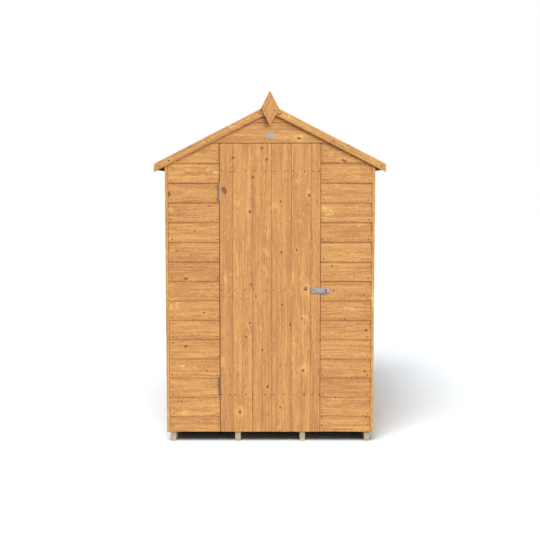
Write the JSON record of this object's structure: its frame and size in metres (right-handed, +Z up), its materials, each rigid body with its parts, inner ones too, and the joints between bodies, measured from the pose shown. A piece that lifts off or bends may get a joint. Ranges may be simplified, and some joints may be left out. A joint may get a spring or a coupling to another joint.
{
  "type": "garden shed",
  "caption": "Small apex-roofed wooden garden shed with lapped board walls, a felted roof and one hinged boarded door with a hasp.",
  "frame": {"origin": "middle of the footprint, on the ground", "axes": "+X to the right seen from the front, -Y out of the door side, +Z up to the ridge"},
  "size_m": [1.439, 1.8686, 2.2038],
  "materials": {
    "stained_boards": "satin",
    "framing": "matte",
    "bare_softwood": "matte",
    "roof_board": "matte",
    "mineral_felt": "matte",
    "zinc_steel": "satin"
  },
  "bodies": {
    "shed": {"front_left_cladding": "stained_boards", "front_right_cladding": "stained_boards", "front_gable_cladding": "stained_boards", "left_wall_cladding": "stained_boards", "right_wall_cladding": "stained_boards", "back_wall_cladding": "stained_boards", "front_corner_strips": "stained_boards", "back_corner_strips": "stained_boards", "eaves_strips": "stained_boards", "bargeboard_front_left": "stained_boards", "bargeboard_front_right": "stained_boards", "bargeboard_back_left": "stained_boards", "bargeboard_back_right": "stained_boards", "finial_front": "stained_boards", "finial_back": "stained_boards", "front_studs": "framing", "front_bottom_rails": "framing", "door_head": "framing", "front_rafters": "framing", "left_wall_studs": "framing", "left_wall_rails": "framing", "right_wall_studs": "framing", "right_wall_rails": "framing", "back_wall_studs": "framing", "back_bottom_rail": "framing", "back_rafters": "framing", "ridge_battens": "framing", "door_stop": "framing", "floor_bearers": "bare_softwood", "floor_deck": "bare_softwood", "roof_deck_left": "roof_board", "roof_deck_right": "roof_board", "felt_left": "mineral_felt", "felt_right": "mineral_felt", "felt_ridge_cap": "mineral_felt", "hinge_frame_leaves": "zinc_steel", "hasp_staple": "zinc_steel"},
    "door": {"door_boards": "stained_boards", "door_ledges": "framing", "door_stiles": "framing", "door_braces": "framing", "hinge_door_leaves": "zinc_steel", "hasp_base": "zinc_steel"},
    "hasp_flap_body": {"hasp_flap": "zinc_steel"}
  },
  "joints": [
    {"name": "door_hinge", "type": "hinge", "parent": "shed", "child": "door", "pos_m": [-0.317, -0.9076, 0.97441], "axis": [0, 0, -1], "range_deg": [0, 130]},
    {"name": "hasp_hinge", "type": "hinge", "parent": "door", "child": "hasp_flap_body", "pos_m": [0.259, -0.9061, 0.96623], "axis": [0, 0, -1], "range_deg": [0, 170]}
  ]
}
